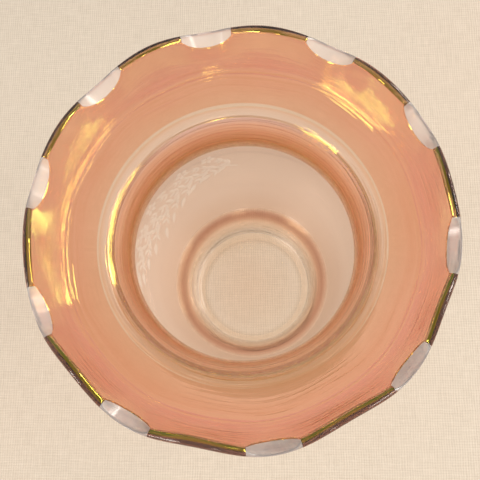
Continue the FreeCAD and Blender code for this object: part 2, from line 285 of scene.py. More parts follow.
@dataclass
class FlareForm:
    """Sizes of the ruffled flare and of the scoops ground into its edge, in metres and degrees.

    The edge rows are how many rows of faces before and after the crest belong to the rounded edge.
    The spill rows are how many rows a ground scoop runs on past its cut, towards the underside.
    """

    skin: SkinForm
    crease_radius: float = 59.9 * MM
    edge_radius: float = 65.3 * MM
    edge_height: float = 128.2 * MM
    ruffle_reach: float = 1.5 * MM
    ruffle_lift: float = 3.2 * MM
    crease_bend: float = 6.5 * MM
    scoop_radius: float = 10.0 * MM
    scoop_depth: float = 1.5 * MM
    scoop_tilt: float = 38.0
    ground_band: float = 7.5 * MM
    scoop_bearings: Sequence[float] = (28.8, 62.8, 99.0, 133.6, 167.0, 203.0, 240.0, 279.0, 319.6, 354.0)
    columns: int = 720
    straight_points: int = 8
    bend_points: int = 12
    fine_points: int = 61
    cut_points: int = 40
    band_points: tuple[int, int, int] = (16, 18, 16)
    soften_passes: int = 2
    edge_rows: tuple[int, int] = (2, 9)
    spill_rows: int = 5

    def ruffle(self, bearing: float) -> float:
        """How the edge waves.

        Args:
            bearing: degrees about the axis.

        Returns:
            1 at a scoop, where the edge is low and far out, and -1 half way between two.
        """
        for number, low in enumerate(self.scoop_bearings):
            high = self.scoop_bearings[(number + 1) % len(self.scoop_bearings)]
            gap = (high - low) % 360
            step = (bearing - low) % 360
            if step < gap:
                return math.cos(FULL_TURN * step / gap)
        return 1.0

    def nearest_scoop(self, bearing: float) -> float:
        """The signed angle in degrees from the nearest scoop to a bearing."""
        return min(((bearing - scoop + 180) % 360 - 180 for scoop in self.scoop_bearings), key=abs)

    def section(self, bearing: float) -> tuple[Path, np.ndarray]:
        """The flare's half-section at one bearing, out along the top and back underneath.

        Args:
            bearing: degrees about the axis.

        Returns:
            The points, and for each how far it lies on ground glass, from 0 to 1.
        """
        skin = self.skin
        wave = self.ruffle(bearing)
        start = skin.on_shelf(Side.INNER, skin.flare_start)
        crease = skin.on_shelf(Side.INNER, self.crease_radius)
        edge = (self.edge_radius + self.ruffle_reach * wave, self.edge_height - self.ruffle_lift * wave)
        lean = math.degrees(math.atan2(edge[1] - crease[1], edge[0] - crease[0]))
        run = math.hypot(edge[0] - crease[0], edge[1] - crease[1])
        tangent = self.crease_bend * math.tan(math.radians((lean - skin.shelf_rise) / 2))
        bend_start = along(crease, -tangent, skin.shelf_rise)
        bend_centre = along(bend_start, self.crease_bend, 90 + skin.shelf_rise)
        round_radius = skin.wall / 2
        round_centre = along(along(edge, -round_radius, lean), round_radius, lean - 90)
        band_foot = along(crease, run - round_radius - self.ground_band, lean)
        band_under = along(band_foot, skin.wall, lean - 90)

        turns = (skin.shelf_rise - 90, lean - 90)
        top = join(
            line(start, bend_start, self.straight_points),
            arc(bend_centre, self.crease_bend, *turns, self.bend_points),
            line(along(crease, tangent, lean), band_foot, self.straight_points),
        )
        bend = arc(bend_centre, self.crease_bend + skin.wall, *turns[::-1], self.bend_points)
        under = join(
            line(band_under, tuple(bend[0]), self.straight_points),
            bend,
            line(tuple(bend[-1]), skin.on_shelf(Side.OUTER, skin.flare_start), self.straight_points),
        )
        band, ground = self.ground_edge(bearing, lean, band_foot, band_under, round_centre)
        flags = np.concatenate([np.zeros(len(top)), ground[1:], np.zeros(len(under) - 1)])
        return join(top, band, under), flags

    def over_wheel(self, path: Path, turn: float) -> np.ndarray:
        """How far points of a half-section stand above the face that the wheel grinds there.

        Args:
            path: the points.
            turn: the angle from the scoop's middle to the half-section, in radians.

        Returns:
            The heights in metres, one for each point, all negative past the wheel's side.
        """
        across = self.edge_radius * math.sin(turn)
        if abs(across) >= self.scoop_radius:
            return np.full(len(path), -1.0)
        tilt = math.radians(self.scoop_tilt)
        lift = self.scoop_radius - math.sqrt(self.scoop_radius ** 2 - across ** 2)
        out = path[:, 0] * math.cos(turn) - (self.edge_radius + self.ruffle_reach + self.skin.wall / 2)
        up = path[:, 1] - (self.edge_height - self.ruffle_lift)
        return up * math.cos(tilt) - out * math.sin(tilt) + self.scoop_depth - lift

    def ground_edge(
        self, bearing: float, lean: float, foot: Point, under: Point, centre: Point
    ) -> tuple[Path, np.ndarray]:
        """The top of the flare with its scoop ground away.

        Args:
            bearing: degrees about the axis.
            lean: the flare's slope in degrees.
            foot: where the band starts on the top side.
            under: where it ends on the underside.
            centre: the centre of the rounded edge.

        Returns:
            The points of the band, and for each whether it is ground.
        """
        rounded = arc(centre, self.skin.wall / 2, lean + 90, lean - 90, self.fine_points)
        up = line(foot, tuple(rounded[0]), self.fine_points)
        down = line(tuple(rounded[-1]), under, self.fine_points)
        whole = join(up, rounded, down)
        cut = np.flatnonzero(self.over_wheel(whole, math.radians(self.nearest_scoop(bearing))) > 0)
        counts = self.band_points
        first, last = self.fine_points - 1, 2 * (self.fine_points - 1)
        middle = whole[first:last + 1]
        ground = np.zeros(sum(counts) - 2)
        if len(cut) > 1:
            low, high = int(cut[0]), int(cut[-1])
            first, last = min(first, low), max(last, high)
            face = line(tuple(whole[low]), tuple(whole[high]), self.cut_points)
            middle = np.vstack([whole[first:low + 1], face, whole[high:last + 1]])
            flags = np.concatenate([np.zeros(low - first + 1), np.ones(len(face)),
                                    np.zeros(last - high + 1)])
            places = np.linspace(0, 1, counts[1])
            spread = np.interp(places, np.linspace(0, 1, len(flags)), flags)
            ground[counts[0] - 1:counts[0] - 1 + counts[1]] = spread
        parts = (whole[:first + 1], middle, whole[last:])
        path = join(*(resample(part, count) for part, count in zip(parts, counts)))
        for _ in range(self.soften_passes):
            path[1:-1] = (path[:-2] + 2 * path[1:-1] + path[2:]) / 4
        return path, ground


# ---- meshes ----


def turn_section(path: Path, columns: int) -> np.ndarray:
    """Turn a half-section about the axis.

    Args:
        path: the half-section's points, the same at every bearing.
        columns: how many bearings.

    Returns:
        The points, as rows by columns by three.
    """
    bearing = np.arange(columns) * FULL_TURN / columns
    radius = path[:, 0][:, None]
    height = np.repeat(path[:, 1][:, None], columns, axis=1)
    return np.stack([radius * np.cos(bearing), radius * np.sin(bearing), height], axis=2)


def unit(vectors: np.ndarray) -> np.ndarray:
    """The same vectors with a length of 1."""
    return vectors / np.maximum(np.linalg.norm(vectors, axis=2, keepdims=True), 1e-12)


def grid_normals(grid: np.ndarray) -> np.ndarray:
    """Unit normals of a grid that closes round the axis, pointing out of the glass.

    Args:
        grid: rows by columns by three. The rows run up the inner side and down the outer one.

    Returns:
        One normal for each point, in the same layout.
    """
    around = np.roll(grid, -1, axis=1) - np.roll(grid, 1, axis=1)
    steps = unit(np.diff(grid, axis=0))
    up = np.concatenate([steps[:1], steps[:-1] + steps[1:], steps[-1:]])
    return unit(np.cross(up, around))


def rise_attributes(way: np.ndarray, full: np.ndarray, columns: int) -> dict[str, np.ndarray]:
    """The two point attributes that say how far up its own zone a point lies.

    Args:
        way: for each row, how far it lies from the zone's foot, in metres.
        full: for each row, how long its side of the zone is, in metres.
        columns: how many columns the grid has.

    Returns:
        travel, from 0 to 1, and way in millimetres.
    """
    values = {"travel": way / full, "way": way / MM}
    return {name: np.repeat(value[:, None], columns, axis=1) for name, value in values.items()}


def strip_slots(slots: Sequence[int], columns: int) -> np.ndarray:
    """One material slot for each face, given one for each strip of faces round the axis."""
    return np.repeat(np.asarray(slots)[:, None], columns, axis=1)


def smooth_piece(name: str, points: Sequence[Point3], faces: Sequence[Sequence[int]]) -> bpy.types.Object:
    """Make a smooth mesh object.

    Args:
        name: the object's name.
        points: its points.
        faces: its faces, as indexes of points.

    Returns:
        The object, linked to the scene.
    """
    mesh = bpy.data.meshes.new(name)
    mesh.from_pydata(points, [], faces)
    mesh.update()
    mesh.polygons.foreach_set("use_smooth", [True] * len(mesh.polygons))
    piece = bpy.data.objects.new(name, mesh)
    bpy.context.scene.collection.objects.link(piece)
    return piece


@dataclass
class SkinPiece:
    """One closed piece of the skin: rows of points round the axis, with seams where zones meet.

    The rows run round the whole half-section and close on themselves. A capped piece reaches the
    axis instead, and its first and last rows are closed by fans.
    """

    name: str
    grid: np.ndarray
    normals: np.ndarray
    slots: np.ndarray
    attributes: dict[str, np.ndarray]
    capped: bool = False

    def build(self) -> bpy.types.Object:
        """Make the mesh object.

        Returns:
            The object, linked to the scene.
        """
        rows, columns, _ = self.grid.shape
        index = np.arange(rows * columns).reshape(rows, columns)
        after_row = np.roll(index, -1, axis=0)
        after_column = np.roll(index, -1, axis=1)
        after_both = np.roll(after_row, -1, axis=1)
        strips = np.stack([index, after_row, after_both, after_column], axis=2)
        slots = self.slots.reshape(-1).astype(np.int32)
        points = self.grid.reshape(-1, 3).tolist()
        normals = self.normals.reshape(-1, 3).tolist()
        faces = strips[:len(self.slots)].reshape(-1, 4).tolist()
        if self.capped:
            for row, turned in ((0, 1), (rows - 1, -1)):
                centre = len(points)
                points.append([0.0, 0.0, self.grid[row, 0, 2]])
                normals.append(self.normals[row, 0].tolist())
                ring = index[row].tolist()
                faces += [[centre, *pair[::turned]] for pair in zip(ring, ring[1:] + ring[:1])]
            slots = np.concatenate([slots, np.zeros(2 * columns, dtype=np.int32)])
        piece = smooth_piece(self.name, points, faces)
        piece.data.polygons.foreach_set("material_index", slots)
        spare = np.zeros(len(points) - rows * columns)
        for name, values in self.attributes.items():
            layer = piece.data.attributes.new(name, "FLOAT", "POINT")
            layer.data.foreach_set("value", np.concatenate([values.reshape(-1), spare]).astype(np.float32))
        piece.data.normals_split_custom_set_from_vertices(normals)
        return piece


@dataclass
class HandWork:
    """The small unevenness of hot glass that was shaped by hand: a few long waves round the skin.

    Each wave is its lobes round the axis, its radians for each metre of section, and its share of
    the depth. The skin is true on the rows nearest to the base, and uneven past twice as many.
    """

    depth: float = 0.05 * MM
    waves: Sequence[tuple[int, float, float]] = (
        (2, 60.0, 0.9), (3, -95.0, 0.7), (5, 140.0, 0.45), (8, -210.0, 0.3),
    )
    seed: int = 11
    true_rows: int = 24

    def shifts(self, grid: np.ndarray) -> np.ndarray:
        """How far each point moves along its normal.

        Args:
            grid: the skin's points.

        Returns:
            The shifts in metres, rows by columns.
        """
        draw = random.Random(self.seed)
        bearing = np.arctan2(grid[..., 1], grid[..., 0])
        way = way_along(grid[:, 0])[:, None]
        total = np.zeros(grid.shape[:2])
        for lobes, rise, share in self.waves:
            total += share * np.sin(lobes * bearing + rise * way + draw.uniform(0, FULL_TURN))
        row = np.arange(len(grid))
        hold = np.clip((np.minimum(row, row[::-1]) - self.true_rows) / self.true_rows, 0.0, 1.0)
        return self.depth * total * hold[:, None]


@dataclass
class GlassSkin:
    """The whole skin of glass, and its cut into the zones that carry different finishes."""

    form: SkinForm
    flare: FlareForm
    hand: HandWork = field(default_factory=HandWork)
    turned_step: int = 2
    disc_shares: Sequence[float] = (0.25, 0.5, 0.75, 0.92, 1.0)

    def __post_init__(self) -> None:
        """Lay out the rows of the whole skin, then its points and normals."""
        runs = {
            Zone.FOOT_RING: self.form.foot_run,
            Zone.HEEL_RING: self.form.heel_run,
            Zone.FROSTED_BODY: self.form.bulb_run,
            Zone.THROAT_RING: self.form.throat_run,
        }
        columns = self.flare.columns
        flare, self.ground = self.flare_block()
        inner = [(zone, turn_section(run(Side.INNER), columns)) for zone, run in runs.items()]
        outer = [(zone, turn_section(run(Side.OUTER)[::-1], columns)) for zone, run in reversed(runs.items())]
        self.rows: dict[tuple[Zone, Side], slice] = {}
        blocks: list[np.ndarray] = []
        count = 0
        for side, parts in ((Side.INNER, [*inner, (Zone.RIM_FLARE, flare)]), (Side.OUTER, outer)):
            for zone, block in parts:
                self.rows[zone, side] = slice(count, count + len(block))
                count += len(block) - 1
                blocks.append(block[1:] if blocks else block)
        grid = np.concatenate(blocks)
        self.grid = grid + grid_normals(grid) * self.hand.shifts(grid)[..., None]
        self.normals = grid_normals(self.grid)

    def flare_block(self) -> tuple[np.ndarray, np.ndarray]:
        """Lay out the flare, bearing by bearing.

        Returns:
            The flare's points, and the mask of its ground scoops.
        """
        sections = []
        masks = []
        for column in range(self.flare.columns):
            bearing = 360.0 * column / self.flare.columns
            path, ground = self.flare.section(bearing)
            turn = math.radians(bearing)
            outwards = np.array([math.cos(turn), math.sin(turn)])
            sections.append(np.column_stack([path[:, :1] * outwards, path[:, 1]]))
            masks.append(ground)
        return np.stack(sections, axis=1), np.stack(masks, axis=1)

    def turned_piece(self, zone: Zone) -> SkinPiece:
        """A turned zone as a closed piece.

        Args:
            zone: the zone.

        Returns:
            The piece, with slots by TurnedSlot.
        """
        inner, outer = self.rows[zone, Side.INNER], self.rows[zone, Side.OUTER]
        up, down = way_along(self.grid[inner, 0]), way_along(self.grid[outer, 0])
        both = np.r_[inner, outer]
        grid = self.grid[both, ::self.turned_step]
        columns = grid.shape[1]
        strips = [TurnedSlot.INSIDE] * (len(up) - 1) + [TurnedSlot.SEAM]
        strips += [TurnedSlot.OUTSIDE] * (len(down) - 1) + [TurnedSlot.SEAM]
        way = np.concatenate([up, down[-1] - down])
        full = np.concatenate([np.full(len(up), up[-1]), np.full(len(down), down[-1])])
        return SkinPiece(f"{zone.value}_glass", grid, self.normals[both, ::self.turned_step],
                         strip_slots(strips, columns), rise_attributes(way, full, columns))

    def flare_piece(self) -> SkinPiece:
        """The flare as a closed piece.

        Returns:
            The piece, with slots by FlareSlot.
        """
        rows = self.rows[Zone.RIM_FLARE, Side.INNER]
        grid = self.grid[rows]
        columns = grid.shape[1]
        crest = len(grid) // 2
        first, last = crest - self.flare.edge_rows[0], crest + self.flare.edge_rows[1]
        strips = [FlareSlot.LUSTRE] * first + [FlareSlot.EDGE] * (last - first)
        strips += [FlareSlot.UNDER] * (len(grid) - 1 - last) + [FlareSlot.SEAM]
        slots = strip_slots(strips, columns)
        bitten = np.minimum(self.ground, np.roll(self.ground, -1, axis=1))
        cut = np.minimum(bitten[:-1], bitten[1:]) > 0.5
        for _ in range(self.flare.spill_rows):
            cut[1:] |= cut[:-1].copy()
        slots[:-1][cut] = FlareSlot.GROUND
        way = way_along(grid[:, 0])
        top, total = way[crest], way[-1]
        full = np.where(way <= top, top, total - top)
        rise = np.where(way <= top, way, total - way)
        return SkinPiece(f"{Zone.RIM_FLARE.value}_glass", grid, self.normals[rows], slots,
                         rise_attributes(rise, full, columns))

    def disc_piece(self) -> SkinPiece:
        """The base disc as a capped piece.

        Returns:
            The piece, with slots by TurnedSlot.
        """
        form = self.form
        columns = self.flare.columns // self.turned_step
        radii = [form.base_radius * share for share in self.disc_shares]
        top = [(radius, form.base_thickness) for radius in radii]
        under = [(radius, 0.0) for radius in reversed(radii)]
        grid = turn_section(np.asarray(top + under), columns)
        normals = np.zeros_like(grid)
        normals[:len(top), :, 2] = 1.0
        normals[len(top):, :, 2] = -1.0
        face = [TurnedSlot.INSIDE] * (len(radii) - 1)
        slots = strip_slots(face + [TurnedSlot.SEAM] + face, columns)
        rise = rise_attributes(grid[:, 0, 0], np.full(len(grid), form.base_radius), columns)
        return SkinPiece(f"{Zone.BASE_DISC.value}_glass", grid, normals, slots, rise, capped=True)


# ---- the white sprays on the ball ----


LENS_SHARES = (-1.0, -0.5, 0.0, 0.5, 1.0)


@dataclass
class WhiteSpray:
    """A leafy spray in thin white relief on the outside of the ball.

    Places on the ball are (across, up) in metres of arc: across runs with the bearing and up
    with the height, both from the spray's middle. Headings are degrees from across towards up.
    """

    name: str
    skin: SkinForm
    bearing: float
    seed: int
    half_length: float = 40.0 * MM
    level: float = -18.5 * MM
    sway: float = 3.2 * MM
    proud: float = 0.22 * MM
    sunk: float = 0.14 * MM
    stem_width: float = 0.55 * MM
    stem_steps: int = 60
    leaf_length: float = 6.4 * MM
    leaf_width: float = 2.5 * MM
    leaf_steps: int = 8
    twigs: int = 19
    twig_steps: int = 8
    twig_curl: float = 4.0
    twig_reach: tuple[float, float] = (8.5 * MM, 17.0 * MM)
    twig_pairs: tuple[int, int] = (2, 4)
    twig_angles: tuple[float, float] = (48, 62)
    leaf_angles: tuple[float, float] = (42, 58)
    leaf_sizes: tuple[float, float] = (0.85, 1.1)
    stem_leaf_angles: tuple[float, float] = (40, 60)
    petals: int = 5
    blossom_sizes: tuple[float, float] = (2.7 * MM, 3.5 * MM)
    blossom_chance: float = 0.75
    blossom_gap: float = 1.6 * MM
    tip_curl: float = 12.0
    points: list[Vector] = field(default_factory=list)
    faces: list[tuple[int, ...]] = field(default_factory=list)

    def on_ball(self, across: float, up: float, rise: float) -> Vector:
        """A point near the ball.

        Args:
            across: how far round the ball, at the spray's level.
            up: how far up the ball from its middle.
            rise: how far outside the ball.

        Returns:
            The point.
        """
        ball = self.skin.bulb_radius
        latitude = up / ball
        turn = math.radians(self.bearing) + across / (ball * math.cos(self.level / ball))
        out = (ball + rise) * math.cos(latitude)
        height = self.skin.bulb_centre_height + (ball + rise) * math.sin(latitude)
        return Vector((out * math.cos(turn), out * math.sin(turn), height))

    def stroke(self, path: Sequence[Point], widths: Sequence[float]) -> None:
        """Lay one closed lens of relief along a path.

        Args:
            path: places on the ball.
            widths: the full width at each.
        """
        last = len(path) - 1

        def lay(row: int, share: float, rise: float) -> int:
            """Add one point of the lens.

            Args:
                row: which place of the path.
                share: how far out from the middle, from -1 to 1.
                rise: how far outside the ball.

            Returns:
                The point's index.
            """
            behind, ahead = path[max(row - 1, 0)], path[min(row + 1, last)]
            heading = math.atan2(ahead[1] - behind[1], ahead[0] - behind[0])
            out = share * widths[row] / 2
            across = path[row][0] - math.sin(heading) * out
            up = path[row][1] + math.cos(heading) * out
            self.points.append(self.on_ball(across, up, rise))
            return len(self.points) - 1

        top = []
        for row in range(last + 1):
            rises = [self.proud * (1 - share ** 2) - self.sunk / 2 * share ** 2 for share in LENS_SHARES]
            if row in (0, last):
                rises = [-self.sunk / 2] * len(LENS_SHARES)
            top.append([lay(row, share, rise) for share, rise in zip(LENS_SHARES, rises)])
        under = [list(row) for row in top]
        for row in range(1, last):
            for column in range(1, len(LENS_SHARES) - 1):
                under[row][column] = lay(row, LENS_SHARES[column], -self.sunk)
        for row in range(last):
            for column in range(len(LENS_SHARES) - 1):
                for sheet, turned in ((top, 1), (under, -1)):
                    near, far = sheet[row][column:column + 2], sheet[row + 1][column:column + 2]
                    self.faces.append((near[0], far[0], far[1], near[1])[::turned])

    def leaf(self, foot: Point, heading: float, length: float, width: float, curl: float = 0.0) -> None:
        """A pointed leaf.

        Args:
            foot: the place of its foot.
            heading: the way it sets out.
            length: its length.
            width: its full width.
            curl: how far it turns along its length, in degrees.
        """
        steps = self.leaf_steps
        narrowest, fullness = 0.12, 0.8
        path = [foot]
        for step in range(1, steps + 1):
            path.append(along(path[-1], length / steps, heading + curl * step / steps))
        shares = [max(narrowest, math.sin(math.pi * (step / steps) ** fullness)) for step in range(steps + 1)]
        self.stroke(path, [width * share for share in shares])

    def blossom(self, centre: Point, radius: float, turn: float) -> None:
        """Round petals about a small eye.

        Args:
            centre: the place of its middle.
            radius: how far the petals reach.
            turn: the heading of the first petal.
        """
        inner, length, width = 0.25 * radius, 0.85 * radius, 0.72 * radius
        for petal in range(self.petals):
            heading = turn + 360.0 / self.petals * petal
            self.leaf(along(centre, inner, heading), heading, length, width)
        eye_length, eye_width = 0.28 * radius, 0.24 * radius
        self.leaf(along(centre, -eye_length / 2, turn), turn, eye_length, eye_width)

    def stem_place(self, share: float) -> Point:
        """A place on the main stem, from 0 at its foot to 1 at its tip."""
        swings, phase = 1.1, 0.6
        swing = math.sin(swings * FULL_TURN * share + phase)
        return (self.half_length * (2 * share - 1), self.level + self.sway * swing)

    def twig(self, share: float, side: int, draw: random.Random) -> None:
        """A side twig of paired leaves. One that points up may end in a blossom.

        Args:
            share: where it leaves the stem, from 0 to 1.
            side: 1 for a long twig upwards and -1 for a short one downwards.
            draw: the source of chance.
        """
        glance, taper = 0.01, 0.5
        foot, ahead = self.stem_place(share), self.stem_place(share + glance)
        main = math.degrees(math.atan2(ahead[1] - foot[1], ahead[0] - foot[0]))
        heading = main + side * draw.uniform(*self.twig_angles)
        crown_start, crown_run, least, growth = 0.12, 0.8, 0.45, 0.6
        crown = math.sin(math.pi * (crown_start + crown_run * share))
        length = self.twig_reach[side > 0] * (least + growth * crown)
        steps = self.twig_steps
        path = [foot]
        for _ in range(steps):
            heading -= side * self.twig_curl
            path.append(along(path[-1], length / steps, heading))
        self.stroke(path, [self.stem_width * (1 - taper * step / steps) for step in range(steps + 1)])
        pairs = self.twig_pairs[side > 0]
        first_size, size_loss, pair_curl = 0.95, 0.13, 18.0
        pair_length, pair_width = 0.75 * self.leaf_length, 0.8 * self.leaf_width
        for pair in range(pairs):
            place = path[1 + pair * (steps - 2) // pairs]
            size = (first_size - size_loss * pair) * draw.uniform(*self.leaf_sizes)
            for way in (-1, 1):
                self.leaf(place, heading + way * draw.uniform(*self.leaf_angles), size * pair_length,
                          size * pair_width, -way * pair_curl)
        if side > 0 and draw.random() < self.blossom_chance:
            centre = along(path[-1], self.blossom_gap, heading)
            self.blossom(centre, draw.uniform(*self.blossom_sizes), draw.uniform(0, 360.0 / self.petals))
        else:
            self.leaf(path[-1], heading, self.leaf_length, self.leaf_width, side * self.tip_curl)

    def build(self) -> bpy.types.Object:
        """Draw the stem, the twigs and the curling tip, and make them one piece.

        Returns:
            The object, linked to the scene.
        """
        draw = random.Random(self.seed)
        shares = [step / self.stem_steps for step in range(self.stem_steps + 1)]
        stem = [self.stem_place(share) for share in shares]
        foot_width, taper = 1.25, 0.6
        self.stroke(stem, [self.stem_width * (foot_width - taper * share) for share in shares])
        first_share, share_run, leaf_gap, leaf_curl = 0.04, 0.93, 0.03, 20.0
        length, width = 0.8 * self.leaf_length, 0.85 * self.leaf_width
        for number in range(self.twigs):
            share = first_share + share_run * number / (self.twigs - 1)
            side = 1 if number % 2 == 0 else -1
            self.twig(share, side, draw)
            foot = self.stem_place(share + leaf_gap)
            self.leaf(foot, -side * draw.uniform(*self.stem_leaf_angles), length, width, side * leaf_curl)
        tip_heading, tip_curl, tip_length = 8.0, 25.0, 1.15 * self.leaf_length
        self.leaf(stem[-1], tip_heading, tip_length, self.leaf_width, tip_curl)
        return smooth_piece(self.name, self.points, self.faces)


# ---- shader nodes ----


MIX_A, MIX_B, MIX_RESULT = 6, 7, 2
EVEN = (1.0, 1.0, 1.0)


def opaque(colour: Colour) -> tuple[float, float, float, float]:
    """A colour with its alpha, as a socket takes it."""
    return (*colour, 1.0)


class NodeSheet:
    """A node tree that is filled by short calls."""

    def __init__(self, tree: bpy.types.NodeTree) -> None:
        """Start from an empty tree."""
        self.tree = tree
        tree.nodes.clear()

    def add(self, kind: str, **settings: object) -> bpy.types.Node:
        """Add a node and set its properties.

        Args:
            kind: the node's type.
            **settings: its properties.

        Returns:
            The node.
        """
        node = self.tree.nodes.new(kind)
        for name, value in settings.items():
            setattr(node, name, value)
        return node

    def feed(self, source: Socket | float | tuple, target: Socket) -> None:
        """Link a socket to a target, or set the target's value.

        Args:
            source: the socket or the value.
            target: the socket that takes it.
        """
        if isinstance(source, bpy.types.NodeSocket):
            self.tree.links.new(source, target)
        else:
            target.default_value = source

    def fill(self, node: bpy.types.Node, **inputs: Socket | float | tuple) -> bpy.types.Node:
        """Feed a node's inputs by name, with an underscore for each space, and return the node."""
        for name, value in inputs.items():
            self.feed(value, node.inputs[name.replace("_", " ")])
        return node

    def maths(self, operation: str, *terms: Socket | float, clamp: bool = False) -> Socket:
        """Place a Math node.

        Args:
            operation: what it does.
            *terms: its inputs, in order.
            clamp: whether its result stays from 0 to 1.

        Returns:
            Its result.
        """
        node = self.add("ShaderNodeMath", operation=operation, use_clamp=clamp)
        for term, target in zip(terms, node.inputs):
            self.feed(term, target)
        return node.outputs[0]

    def blend(self, kind: str, share: Socket | float, first: Socket | tuple, second: tuple) -> Socket:
        """Mix two colours.

        Args:
            kind: the way of mixing.
            share: how much of the second is taken.
            first: the first colour.
            second: the second colour.

        Returns:
            The mixed colour.
        """
        node = self.add("ShaderNodeMix", data_type="RGBA", blend_type=kind)
        self.feed(share, node.inputs["Factor"])
        self.feed(first, node.inputs[MIX_A])
        self.feed(second, node.inputs[MIX_B])
        return node.outputs[MIX_RESULT]

    def ramp(self, source: Socket, stops: Tints) -> Socket:
        """A colour ramp with smooth stops.

        Args:
            source: where on the ramp a point lies, from 0 to 1.
            stops: the places and colours of its stops.

        Returns:
            The colour.
        """
        node = self.add("ShaderNodeValToRGB")
        node.color_ramp.interpolation = "EASE"
        elements = node.color_ramp.elements
        while len(elements) < len(stops):
            elements.new(0.5)
        for element, (place, colour) in zip(elements, stops):
            element.position = place
            element.color = opaque(colour)
        self.feed(source, node.inputs[0])
        return node.outputs[0]

    def attribute(self, name: str) -> Socket:
        """The value of a point attribute."""
        return self.add("ShaderNodeAttribute", attribute_name=name).outputs["Fac"]

    def stretched(self, scale: Point3 = EVEN) -> Socket:
        """The object's own coordinates, stretched."""
        place = self.add("ShaderNodeTexCoord").outputs["Object"]
        return self.fill(self.add("ShaderNodeMapping"), Vector=place, Scale=scale).outputs[0]

    def noise(self, vector: Socket, scale: Socket | float, detail: float, rough: float) -> Socket:
        """A noise texture's value."""
        node = self.add("ShaderNodeTexNoise")
        return self.fill(node, Vector=vector, Scale=scale, Detail=detail, Roughness=rough).outputs[0]

    def bump(self, height: Socket, strength: float, distance: float) -> Socket:
        """A bump normal."""
        node = self.add("ShaderNodeBump")
        return self.fill(node, Strength=strength, Distance=distance, Height=height).outputs[0]

    def place(self, group: bpy.types.NodeTree, **inputs: Socket | float) -> bpy.types.Node:
        """Place a node group and feed its inputs by name."""
        return self.fill(self.add("ShaderNodeGroup", node_tree=group), **inputs)

    def mix_shaders(self, share: Socket | float, first: Socket, second: Socket) -> Socket:
        """Mix two shaders, from the first at 0 to the second at 1."""
        node = self.add("ShaderNodeMixShader")
        for value, target in zip((share, first, second), node.inputs):
            self.feed(value, target)
        return node.outputs[0]


def start_group(
    name: str, inputs: dict[str, float], outputs: Sequence[str]
) -> tuple[NodeSheet, bpy.types.NodeOutputs, bpy.types.NodeInputs]:
    """Make an empty node group that several finishes share: numbers go in and come out by name.

    Args:
        name: the group's name.
        inputs: its inputs with their usual values.
        outputs: its outputs.

    Returns:
        The sheet to fill, the sockets to read and the sockets to feed.
    """
    tree = bpy.data.node_groups.new(name, "ShaderNodeTree")
    for label, value in inputs.items():
        tree.interface.new_socket(label, in_out="INPUT", socket_type="NodeSocketFloat").default_value = value
    for label in outputs:
        tree.interface.new_socket(label, in_out="OUTPUT", socket_type="NodeSocketFloat")
    sheet = NodeSheet(tree)
    return sheet, sheet.add("NodeGroupInput").outputs, sheet.add("NodeGroupOutput").inputs


def lustre_mottle_group() -> bpy.types.NodeTree:
    """Soft clouds and fine flecks in a sprayed metal lustre.

    Returns:
        The group. Its mask runs from 0 to 1.
    """
    sheet, read, out = start_group("lustre_mottle", {"Cloud": 48.0, "Fleck": 900.0}, ["Mask"])
    place = sheet.stretched()
    clouds = sheet.noise(place, read["Cloud"], detail=4.0, rough=0.55)
    flecks = sheet.noise(place, read["Fleck"], detail=2.0, rough=0.5)
    fleck_share, contrast = 0.35, 2.2
    mixed = sheet.maths("MULTIPLY_ADD", flecks, fleck_share, sheet.maths("MULTIPLY", clouds, 1 - fleck_share))
    wide = sheet.maths("MULTIPLY_ADD", sheet.maths("SUBTRACT", mixed, 0.5), contrast, 0.5, clamp=True)
    sheet.feed(wide, out["Mask"])
    return sheet.tree


def hand_ripple_group() -> bpy.types.NodeTree:
    """Slow ripples of hand-shaped glass, the fine lines of its turning and one raised line.

    Way is how far up its zone a point lies, in millimetres, and Line Way is where the raised line
    runs. Lines are stronger within Line Reach of it, by Line Extra. Calm fades everything.

    Returns:
        The group. Its height and its lines both lie about 0.
    """
    inputs = {
        "Way": 0.0, "Ring": 0.5, "Calm": 1.0, "Line Way": 0.0, "Line Reach": 8.0, "Line Extra": 0.0,
        "Line Height": 0.0,
    }
    line_width, turning, slow_scale, uneven = 0.4, 0.85, 48.0, (14.0, 14.0, 0.0)
    sheet, read, out = start_group("hand_ripple", inputs, ["Height", "Lines"])
    swell = sheet.noise(sheet.stretched((1.0, 1.0, 1.6)), slow_scale, detail=1.0, rough=0.4)
    slow = sheet.maths("SUBTRACT", swell, 0.5)
    lathe = sheet.add("ShaderNodeCombineXYZ")
    sheet.feed(sheet.maths("MULTIPLY", read["Way"], turning), lathe.inputs["Z"])
    around = sheet.add("ShaderNodeVectorMath", operation="ADD")
    sheet.feed(sheet.stretched(uneven), around.inputs[0])
    sheet.feed(lathe.outputs[0], around.inputs[1])
    lines = sheet.maths("SUBTRACT", sheet.noise(around.outputs[0], 1.0, detail=3.0, rough=0.6), 0.5)
    away = sheet.maths("ABSOLUTE", sheet.maths("SUBTRACT", read["Way"], read["Line Way"]))
    near = sheet.maths("SUBTRACT", 1.0, sheet.maths("DIVIDE", away, read["Line Reach"]), clamp=True)
    share = sheet.maths("MULTIPLY_ADD", near, read["Line Extra"], read["Ring"])
    ridge = sheet.maths("SUBTRACT", 1.0, sheet.maths("DIVIDE", away, line_width), clamp=True)
    tinted = sheet.maths("MULTIPLY", lines, share)
    raised = sheet.maths("MULTIPLY_ADD", ridge, read["Line Height"], tinted)
    total = sheet.maths("MULTIPLY", sheet.maths("ADD", raised, slow), read["Calm"])
    sheet.feed(total, out["Height"])
    sheet.feed(sheet.maths("MULTIPLY", tinted, read["Calm"]), out["Lines"])
    return sheet.tree


